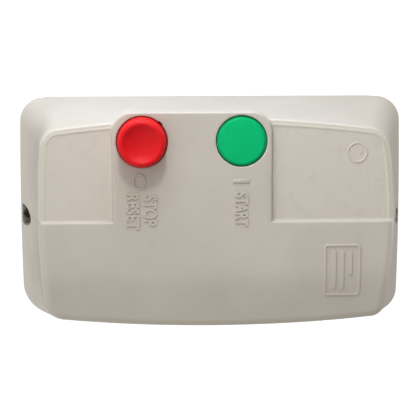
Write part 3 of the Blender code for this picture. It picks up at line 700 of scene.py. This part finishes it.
def make_marks(plastic):
    on_bar = raised_bar(*ON_BAR, FACE_DEPTH, MARK_RELIEF, 0.3)
    pieces = [make_plate(plastic), new_object("mark_on", on_bar, plastic), make_off_ring(plastic)]
    pieces += [raised_word(name, text, box, plastic) for name, text, box in WORDS]
    pieces.append(make_panel_ring(plastic))
    return pieces


# ---- base


def base_sections():
    """Outside of the base: rounded at its back edge and eased at the parting line."""
    back = ((0.0, 1.2), (0.12, 0.75), (0.45, 0.3), (1.2, 0.0))
    sections = []
    for depth, extra in (*back, (20.0, 0.0), (BASE_DEPTH - 0.3, 0.0), (BASE_DEPTH, 0.3)):
        sections.append((depth, housing_outline(PARTING, BASE_TAPER * (1 - depth / BASE_DEPTH) + extra)))
    return sections


def upright(bm, z):
    """Turns a solid made about a depth axis to stand along z, its depths counted up from z; the second value
    of its centre becomes its y."""
    turn = Matrix(((1, 0, 0), (0, 0, 1), (0, -1, 0)))
    bmesh.ops.transform(bm, matrix=Matrix.Translation((0, 0, z)) @ turn.to_4x4(), verts=bm.verts)
    return bm


def ring_solid(low, high, outer_inset, inner_inset):
    """Band that runs round the parting line, between two depths and two insets."""
    rings = []
    for inset, depth in ((outer_inset, low), (outer_inset, high), (inner_inset, high), (inner_inset, low)):
        rings.append([(x, -depth, z) for x, z in housing_outline(PARTING, inset)])
    return solid_through(rings, hoop=True)


def base_cavity(plastic):
    """Inside of the base, with material left for the cover screws' bosses."""
    ease = 0.8
    inner = [(FLOOR, housing_outline(PARTING, BASE_WALL + ease + BASE_TAPER))]
    inner.append((FLOOR + ease, housing_outline(PARTING, BASE_WALL + BASE_TAPER)))
    inner.append((BASE_DEPTH + 1, housing_outline(PARTING, BASE_WALL)))
    cavity = new_object("cavity", loft(inner), plastic)
    bosses = [cylinder(BASE_BOSS_RADIUS, (0, BASE_DEPTH + 2), at) for at in SCREWS]
    cut(cavity, merged(bosses))
    return cavity


def knockout_grooves():
    """Shallow ring grooves in the two end walls."""
    grooves = []
    for side in (-1, 1):
        for x in (-KNOCKOUT_X, KNOCKOUT_X):
            groove = tube(*KNOCKOUT_RADII, (-2.0, 2.0), (x, -KNOCKOUT_DEPTH), 96)
            grooves.append(upright(groove, side * PARTING[2]))
    return merged(grooves)


def base_holes():
    """Screw holes for the cover, the rail and the wall."""
    holes = [cylinder(BASE_SCREW_HOLE, (14.0, BASE_DEPTH + 2), at, 32) for at in SCREWS]
    holes += [cylinder(BASE_SCREW_HOLE, (1.2, 6.0), (x, RAIL_Z), 32) for x in RAIL_SCREW_X]
    for x in (-WALL_FIXING_X, WALL_FIXING_X):
        for z in (-WALL_FIXING_Z, WALL_FIXING_Z):
            holes.append(cylinder(WALL_FIXING_HOLE, (-1.0, 5.0), (x, z), 48))
    return merged(holes)


def make_base(plastic):
    base = new_object("base_shell", loft(base_sections()), plastic)
    cut(base, bmesh_of(base_cavity(plastic)))
    pillars = [cylinder(PILLAR_RADIUS, (2.0, 5.0), (x, RAIL_Z)) for x in RAIL_SCREW_X]
    pillars.append(cylinder(PILLAR_RADIUS, (2.0, 8.0), EARTH_AT))
    join(base, merged(pillars))
    cut(base, base_holes())
    gasket_groove = ring_solid(BASE_DEPTH - 2.0, BASE_DEPTH + 1.0, 0.6, 2.0)
    cut(base, gasket_groove)
    cut(base, knockout_grooves())
    return base


def make_gasket(rubber):
    return new_object("gasket_ring", ring_solid(BASE_DEPTH - 1.7, BASE_DEPTH, 0.9, 1.7), rubber)


# ---- buttons and springs


def smooth_profile(points):
    """Catmull-Rom curve through (radius, depth) points."""
    steps = 6
    points = [points[0], *points, points[-1]]
    line = []
    for p0, p1, p2, p3 in zip(points, points[1:], points[2:], points[3:]):
        for i in range(steps):
            t = i / steps
            point = []
            for a, b, c, d in zip(p0, p1, p2, p3):
                square, cube = 2 * a - 5 * b + 4 * c - d, 3 * b - a - 3 * c + d
                point.append(0.5 * (2 * b + (c - a) * t + square * t**2 + cube * t**3))
            line.append(tuple(point))
    return [*line, points[-1]]


def make_button(name, at, plastic, crown, stem_end):
    """Cap with a hollow skirt on a grooved stem; the crown is its outside, from the rim to the middle."""
    stem, lining, floor = STEM_RADIUS, CAP_RADIUS - CAP_WALL, crown[-1][1] - CAP_THICKNESS
    groove, groove_back, groove_front = CLIP_GROOVE
    profile = [(0, stem_end), (stem - 0.4, stem_end), (stem, stem_end + 0.4), (stem, groove_back)]
    profile += [(groove, groove_back), (groove, groove_front), (stem, groove_front)]
    profile += [(stem, floor - 0.6), (stem + 0.6, floor), (lining - 0.6, floor), (lining, floor - 0.6)]
    profile += [(lining, SKIRT_DEPTH + 0.3), (lining + 0.3, SKIRT_DEPTH), (CAP_RADIUS - 0.3, SKIRT_DEPTH)]
    profile += [(CAP_RADIUS, SKIRT_DEPTH + 0.3), *crown]
    return new_object(name, turned(profile, at, 128), plastic, 40)


def start_crown():
    """Sunk rim round a slightly domed disc."""
    rounding = 0.7
    edge = [(CAP_RADIUS, 101.8), (12.15, 101.9), (11.6, 101.9), (11.45, 102.0)]
    for a in (0.0, 0.25, 0.5, 0.75, 1.0, 1.25, 1.5):
        edge.append((10.75 + rounding * math.cos(a), 102.5 + rounding * math.sin(a)))
    return [*edge, (10.4, 103.21), (8.0, 103.35), (4.0, 103.46), (0, 103.5)]


def stop_crown():
    """Tall side that rounds over into a dished top."""
    rounding = 1.9
    side = [(CAP_RADIUS, 103.7), (12.1, 104.1), (11.7, 104.5), (11.5, 105.0)]
    for a in np.linspace(0.0, 0.95 * math.pi / 2, 12):
        side.append((9.6 + rounding * math.cos(a), 113.05 + rounding * math.sin(a)))
    dish = [(9.4, 114.95), (8.9, 114.75), (8.0, 114.15), (6.7, 113.45)]
    dish += [(4.7, 112.8), (2.4, 112.4), (0.6, 112.3)]
    return [*side, *smooth_profile(dish), (0, 112.3)]


def make_spring(name, at, depth, radius, wire, steel):
    """Compression spring with a flat half turn at each end."""
    turns, per_turn, sides = 5, 40, 12
    low, high = depth[0] + wire / 2, depth[1] - wire / 2
    count = round(turns * per_turn)
    rings = []
    for i in range(count + 1):
        share = i / count
        angle = 2 * math.pi * turns * share
        rise = min(max((share * turns - 0.5) / (turns - 1), 0.0), 1.0)
        outward = Vector((math.cos(angle), 0, math.sin(angle)))
        middle = Vector((at[0], -(low + (high - low) * rise), at[1])) + outward * radius
        ring = []
        for k in range(sides):
            turn = 2 * math.pi * k / sides
            spoke = outward * math.cos(turn) + Vector((0, math.sin(turn), 0))
            ring.append(middle + spoke * wire / 2)
        rings.append(ring)
    return new_object(name, solid_through(rings), steel)


# ---- materials


WAVE_STRIPES = 6.3  # stripes per unit, light and dark, that a wave texture draws at scale 1


class Finish:
    """A procedural material: one shader with its colour, roughness and bump built from noises."""

    def __init__(self, name, colour, roughness, metallic=0.0, specular=0.5, coat=0.0):
        self.material = bpy.data.materials.new(name)
        self.material.use_nodes = True
        self.tree = self.material.node_tree
        self.shader = self.tree.nodes["Principled BSDF"]
        self.put(self.shader, "Metallic", metallic)
        self.put(self.shader, "Specular IOR Level", specular)
        self.put(self.shader, "Coat Weight", coat)
        self.put(self.shader, "Roughness", roughness)
        self.place = self.node("ShaderNodeTexCoord").outputs["Object"]
        self.colour = self.node("ShaderNodeRGB").outputs[0]
        self.colour.default_value = (*colour, 1.0)
        self.roughness = self.node("ShaderNodeValue").outputs[0]
        self.roughness.default_value = roughness
        self.bump = None

    def node(self, kind, **inputs):
        made = self.tree.nodes.new(kind)
        for key, value in inputs.items():
            self.put(made, key, value)
        return made

    def link(self, source, target):
        self.tree.links.new(source, target)

    def put(self, made, key, value):
        socket = made.inputs[key.replace("_", " ")]
        if isinstance(value, bpy.types.NodeSocket):
            self.link(value, socket)
        else:
            socket.default_value = value

    def noise(self, size, detail=2.0, stretch=(1, 1, 1), rough=0.5, distortion=0.0):
        """Noise from 0 to 1 whose grains are about size millimetres."""
        mapping = self.node("ShaderNodeMapping", Vector=self.place, Scale=stretch)
        grain = {"Scale": 1 / (size * MM), "Detail": detail, "Roughness": rough, "Distortion": distortion}
        return self.node("ShaderNodeTexNoise", Vector=mapping.outputs[0], **grain).outputs["Fac"]

    def waves(self, axis, width, **inputs):
        """Light and dark stripes across an axis, each about width millimetres wide."""
        scale = 1 / (width * MM) / WAVE_STRIPES
        made = self.node("ShaderNodeTexWave", Vector=self.place, Scale=scale, **inputs)
        made.bands_direction = axis
        return made.outputs["Fac"]

    def mapped(self, value, low, high, start=0.3, end=0.7):
        """Turns the value's range from start to end into low to high, held beyond both."""
        made = self.node("ShaderNodeMapRange")
        self.link(value, made.inputs[0])
        for index, number in enumerate((start, end, low, high), 1):
            made.inputs[index].default_value = number
        return made.outputs[0]

    def tint(self, value, colour, amount, start=0.3, end=0.7):
        """Mixes a colour in as the value goes from start to end, up to the amount."""
        made = self.node("ShaderNodeMix")
        made.data_type = "RGBA"
        self.link(self.mapped(value, 0.0, amount, start, end), made.inputs[0])
        self.link(self.colour, made.inputs[6])
        made.inputs[7].default_value = (*colour, 1.0)
        self.colour = made.outputs[2]
        return self

    def combined(self, operation, first, second):
        made = self.node("ShaderNodeMath")
        made.operation = operation
        self.link(first, made.inputs[0])
        self.link(second, made.inputs[1])
        return made.outputs[0]

    def product(self, first, second):
        return self.combined("MULTIPLY", first, second)

    def band(self, axis, low, high, soft):
        """1 between two places along an axis, fading to 0 beyond them; all in millimetres."""
        along = self.node("ShaderNodeSeparateXYZ", Vector=self.place).outputs[axis]
        rising = self.mapped(along, 0.0, 1.0, (low - soft) * MM, low * MM)
        return self.product(rising, self.mapped(along, 1.0, 0.0, high * MM, (high + soft) * MM))

    def crease_shade_mask(self):
        """Where shade is painted: 1 on the bottom wall where it meets the front, fading towards the base."""
        parts = self.node("ShaderNodeSeparateXYZ", Vector=self.place).outputs
        bottom = self.mapped(parts["Z"], 1.0, 0.0, -86 * MM, -80 * MM)
        fading = self.mapped(parts["Y"], 1.0, 0.0, -94 * MM, -45 * MM)
        behind_front = self.mapped(parts["Y"], 0.0, 1.0, -98.5 * MM, -96.5 * MM)
        return self.product(bottom, self.product(fading, behind_front))

    def well_shade_mask(self):
        """1 on the walls of the lower screw well, where shade is painted in."""
        parts = self.node("ShaderNodeSeparateXYZ", Vector=self.place).outputs
        flat = self.node("ShaderNodeCombineXYZ", X=parts["X"], Z=parts["Z"])
        reach = self.node("ShaderNodeVectorMath")
        reach.operation = "DISTANCE"
        self.link(flat.outputs[0], reach.inputs[0])
        reach.inputs[1].default_value = (0.0, 0.0, -WELL_Z * MM)
        start, end = (WELL_RADIUS + 0.1) * MM, (WELL_RADIUS + 0.4) * MM
        near = self.mapped(reach.outputs["Value"], 1.0, 0.0, start, end)
        return self.product(near, self.band("Y", -90.0, -42.0, 1.0))

    def vary_roughness(self, value, change):
        self.roughness = self.combined("ADD", self.roughness, self.mapped(value, -change, change))
        return self

    def emboss(self, value, depth, strength=1.0):
        """Bump whose full height is depth millimetres."""
        made = self.node("ShaderNodeBump", Height=value, Distance=depth * MM, Strength=strength)
        if self.bump is not None:
            self.link(self.bump, made.inputs["Normal"])
        self.bump = made.outputs[0]
        return self

    def edges(self, colour, amount):
        """Another tone on sharp outward edges."""
        value = self.node("ShaderNodeNewGeometry").outputs["Pointiness"]
        return self.tint(value, colour, amount, 0.52, 0.6)

    def done(self):
        self.link(self.colour, self.shader.inputs["Base Color"])
        self.link(self.roughness, self.shader.inputs["Roughness"])
        if self.bump is not None:
            self.link(self.bump, self.shader.inputs["Normal"])
        return self.material


def shaded(colour, factor):
    return tuple(min(c * factor, 1.0) for c in colour)


def moulded(name, colour, roughness, grain, relief, specular=0.5, panels=False):
    """Injection-moulded plastic: fine spark texture, faint flow and a little dirt. The enclosure's own has
    paler, coarser sunk panels, painted shade in the lower screw well and along the bottom crease, and no pale
    edges."""
    f = Finish(name, colour, roughness, specular=specular)
    fine, broad = f.noise(grain, 3.0, rough=0.6), f.noise(28.0, 3.0, distortion=0.4)
    if panels:
        # painted shade: the walls of the lower screw well are darkened almost to black
        f.tint(f.well_shade_mask(), shaded(colour, 0.12), 0.9, 0.0, 1.0)
        sunk = f.product(f.band("X", -80.0, STEP_X - 0.8, 0.3), f.band("Y", -101.4, -99.6, 0.6))
        f.tint(sunk, shaded(colour, 1.17), 1.0, 0.0, 1.0)
        f.emboss(f.product(sunk, f.noise(1.1, 2.0, rough=0.7)), 0.12)
        # painted shade: the bottom wall darkens towards its crease with the front
        f.tint(f.crease_shade_mask(), shaded(colour, 0.5), 0.8, 0.0, 1.0)
    f.tint(fine, shaded(colour, 0.9), 0.45)
    f.tint(broad, shaded(colour, 1.07), 0.6, 0.42, 0.7)
    f.tint(f.noise(7.0, 5.0), shaded(colour, 0.86), 0.4, 0.58, 0.85)
    f.vary_roughness(broad, 0.04).vary_roughness(fine, 0.05)
    f.emboss(f.noise(18.0, 1.0), 0.06, 0.6).emboss(fine, relief)
    if not panels:
        f.edges(shaded(colour, 1.15), 0.35)
    return f.done()


def glossy(name, colour, roughness, specular=0.2):
    """Smooth button plastic with faint mottling and handling marks."""
    f = Finish(name, colour, roughness, specular=specular)
    scratch = f.noise(1.2, 6.0, stretch=(1, 0.3, 6))
    f.tint(f.noise(3.5, 4.0), shaded(colour, 0.82), 0.55)
    f.tint(scratch, shaded(colour, 1.12), 0.3, 0.6, 0.8)
    f.vary_roughness(f.noise(5.0, 4.0), 0.07).vary_roughness(scratch, 0.05)
    f.emboss(f.noise(0.5, 2.0), 0.012, 0.5)
    f.edges(shaded(colour, 1.15), 0.2)
    return f.done()


def metal(name, colour, roughness, stretch=(1, 1, 14), grain=0.35, stain=None):
    """Rolled or plated metal: drawn lines, cloudy plating and dull spots."""
    f = Finish(name, colour, roughness, metallic=1.0)
    lines = f.noise(grain, 4.0, stretch=stretch)
    cloud = f.noise(6.0, 4.0, distortion=0.6)
    f.tint(lines, shaded(colour, 0.8), 0.6)
    f.tint(cloud, stain or shaded(colour, 0.75), 0.5, 0.5, 0.8)
    f.vary_roughness(lines, 0.08).vary_roughness(cloud, 0.1)
    f.emboss(lines, 0.01, 0.6)
    f.edges(shaded(colour, 1.25), 0.5)
    return f.done()


def winding(name, colour):
    """Enamelled wire in close turns about a depth axis."""
    f = Finish(name, colour, 0.28, metallic=0.6, coat=0.4)
    wave = f.waves("Y", 0.45, Distortion=0.4)
    f.tint(wave, shaded(colour, 0.45), 0.9, 0.0, 0.5)
    f.vary_roughness(f.noise(3.0, 3.0), 0.08)
    f.emboss(wave, 0.12)
    return f.done()


def laminated(name, colour):
    """Stack of thin steel sheets, seen on edge."""
    f = Finish(name, colour, 0.42, metallic=1.0)
    wave = f.waves("Z", 0.5)
    f.tint(wave, shaded(colour, 0.45), 0.8, 0.0, 0.3)
    rust = (0.25, 0.14, 0.07)
    f.tint(f.noise(4.0, 4.0), rust, 0.35, 0.6, 0.85)
    f.emboss(wave, 0.05)
    return f.done()


def rubber_finish(name):
    """Black seal with dusty patches."""
    f = Finish(name, (0.02, 0.02, 0.021), 0.75)
    dust = (0.06, 0.058, 0.055)
    f.tint(f.noise(2.0, 4.0), dust, 0.6)
    f.vary_roughness(f.noise(1.0, 3.0), 0.08).emboss(f.noise(0.4, 3.0), 0.03)
    return f.done()


def make_finishes():
    rows = (
        (moulded, "housing_plastic", (0.47, 0.425, 0.355), 0.44, 0.55, 0.045, 0.4, True),
        (glossy, "red_plastic", (0.61, 0.005, 0.008), 0.48, 0.16),
        (glossy, "green_plastic", (0.0, 0.41, 0.13), 0.45, 0.1),
        (rubber_finish, "seal_rubber"),
        (metal, "bright_steel", (0.62, 0.62, 0.63), 0.25),
        # near-black steel for the sunk cover screws: painted shade in the screw wells
        (metal, "shaded_steel", (0.07, 0.06, 0.05), 0.6),
        (metal, "rail_steel", (0.6, 0.61, 0.6), 0.38, (0.08, 1, 1), 0.5),
        (laminated, "magnet_steel", (0.3, 0.3, 0.31)),
        (metal, "brass", (0.62, 0.44, 0.17), 0.3, (1, 1, 8), 0.4, (0.3, 0.2, 0.1)),
        (metal, "copper", (0.75, 0.38, 0.22), 0.3, (1, 1, 0.1), 0.4, (0.4, 0.2, 0.13)),
        (winding, "coil_copper", (0.5, 0.16, 0.05)),
        (metal, "bimetal", (0.42, 0.37, 0.31), 0.42, (1, 0.1, 1), 0.3, (0.24, 0.2, 0.3)),
        (moulded, "black_plastic", (0.022, 0.022, 0.024), 0.5, 0.4, 0.04),
        (moulded, "grey_plastic", (0.33, 0.34, 0.345), 0.5, 0.4, 0.04),
        (moulded, "nylon", (0.7, 0.68, 0.6), 0.42, 0.7, 0.02),
        (glossy, "blue_plastic", (0.02, 0.12, 0.45), 0.35),
    )
    return {name: make(name, *settings) for make, name, *settings in rows}


# ---- stage


def white_backdrop(tree, glow, lit, output):
    """The camera sees the plain white glow, and everything else the lit shader."""
    glow.inputs["Color"].default_value = WHITE
    glow.inputs["Strength"].default_value = BACKDROP
    path, mix = tree.nodes.new("ShaderNodeLightPath"), tree.nodes.new("ShaderNodeMixShader")
    link = tree.links.new
    link(path.outputs["Is Camera Ray"], mix.inputs[0])
    link(lit.outputs[0], mix.inputs[1])
    link(glow.outputs[0], mix.inputs[2])
    link(mix.outputs[0], output.inputs[0])


def make_sky():
    world = bpy.data.worlds.new("studio")
    bpy.context.scene.world = world
    world.use_nodes = True
    tree = world.node_tree
    soft = tree.nodes["Background"]
    soft.inputs["Color"].default_value = WHITE
    soft.inputs["Strength"].default_value = SKY_LIGHT
    white_backdrop(tree, tree.nodes.new("ShaderNodeBackground"), soft, tree.nodes["World Output"])


def make_floor():
    material = bpy.data.materials.new("pale_floor")
    material.use_nodes = True
    tree = material.node_tree
    shader = tree.nodes["Principled BSDF"]
    shader.inputs["Base Color"].default_value = (0.2, 0.2, 0.2, 1.0)
    shader.inputs["Roughness"].default_value = 0.8
    shader.inputs["Emission Color"].default_value = WHITE
    shader.inputs["Emission Strength"].default_value = FLOOR_GLOW
    white_backdrop(tree, tree.nodes.new("ShaderNodeEmission"), shader, tree.nodes["Material Output"])
    half_side, gap = 6000, 1.0
    bm = bmesh.new()
    bmesh.ops.create_grid(bm, x_segments=1, y_segments=1, size=half_side)
    bmesh.ops.translate(bm, vec=(0, 0, cad_low.z / MM - gap), verts=bm.verts)
    floor = new_object("floor", bm, material)


def add_light(name, direction, distance, size, brightness, colour=(1.0, 1.0, 1.0)):
    """Square area light that shines on the middle of the object's front; direction points from there to it,
    and brightness is what a white surface there would show."""
    towards = Vector(direction).normalized()
    data = bpy.data.lights.new(name, "AREA")
    data.shape, data.size = "SQUARE", size
    data.color = colour
    # a small lamp of power P gives P / (pi * distance^2), of which a white surface shows 1 / pi
    data.energy = brightness * math.pi**2 * distance**2
    lamp = bpy.data.objects.new(name, data)
    lamp.location = Vector((0, cad_low.y, 0)) + towards * distance
    lamp.rotation_mode = "QUATERNION"
    lamp.rotation_quaternion = towards.to_track_quat("Z", "Y")
    to_scene(lamp)


def make_lights():
    """Key from the front left, a cool light close to the left wall, and a soft one from above."""
    lean = math.radians(51)
    add_light("key", (-math.sin(lean), -math.cos(lean), -0.06), distance=0.7, size=0.08, brightness=0.36)
    cool = (0.96, 1.1, 1.36)
    add_light("side", (-0.25, -0.038, -0.02), distance=0.263, size=0.18, brightness=0.72, colour=cool)
    add_light("top", (0.0, 0.2, 1.0), distance=1.0, size=0.3, brightness=0.33)


def make_camera():
    """Long lens, a little to the left and below, rolled a quarter turn so that +Z points right."""
    place = Vector((-95.005, -720.0, -23.351)) * MM
    target = Vector((-3.078, -60.0, -1.131)) * MM
    roll = -0.0028
    forward = (target - place).normalized()
    right = forward.cross(Vector((-1, 0, 0))).normalized()
    up = right.cross(forward)
    c, s = math.cos(roll), math.sin(roll)
    right, up = c * right + s * up, -s * right + c * up
    data = bpy.data.cameras.new("camera")
    data.lens, data.sensor_width = 108.4, 36.0
    data.clip_start, data.clip_end = 0.05, 30.0
    camera = bpy.data.objects.new("camera", data)
    matrix = Matrix((right, up, -forward)).transposed().to_4x4()
    matrix.translation = place
    camera.matrix_world = matrix
    to_scene(camera)
    bpy.context.scene.camera = camera


# ---- assembly


def place_piece(obj, body, slot, *nodes):
    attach(obj, body)
    if nodes:
        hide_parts(*nodes)


def dress_cad_nodes(finishes):
    """Gives every CAD node the finish of its slot in the record; the sunk cover screws get a near-black
    steel, painted shade that hides them in their wells.
    """
    slots = {row["node"]: row["material_slot"] for row in frame["record"]["subparts"]}
    for name, obj in frame["nodes"].items():
        obj.data.materials.clear()
        finish = "shaded_steel" if name.startswith("cover_screw") else slots[name]
        obj.data.materials.append(finishes[finish])


def place_housing(finishes):
    shell = finishes["housing_plastic"]
    place_piece(make_base(shell), "enclosure", "housing_plastic", "base")
    place_piece(make_gasket(finishes["seal_rubber"]), "enclosure", "seal_rubber", "cover_gasket")
    place_piece(make_cover(shell), "cover", "housing_plastic", "cover")
    for mark in make_marks(shell):
        place_piece(mark, "cover", "housing_plastic")


def place_buttons(finishes):
    start = make_button("start_cap", START_AT, finishes["green_plastic"], start_crown(), stem_end=84.0)
    place_piece(start, "start_button", "green_plastic", "start_button")
    stop = make_button("stop_cap", STOP_AT, finishes["red_plastic"], stop_crown(), stem_end=80.0)
    place_piece(stop, "stop_button", "red_plastic", "stop_button")


def place_springs(steel):
    for node, at, depth, radius, wire, joint, keep, body in SPRINGS:
        coil = make_spring(node + "_coil", at, depth, radius, wire, steel)
        place_piece(coil, body, "bright_steel", node)
        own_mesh(coil)


def main():
    bpy.context.scene.view_settings.view_transform = "Standard"
    make_camera()
    make_sky()
    make_floor()
    make_lights()
    finishes = make_finishes()
    dress_cad_nodes(finishes)
    place_housing(finishes)
    place_buttons(finishes)
    place_springs(finishes["bright_steel"])


main()
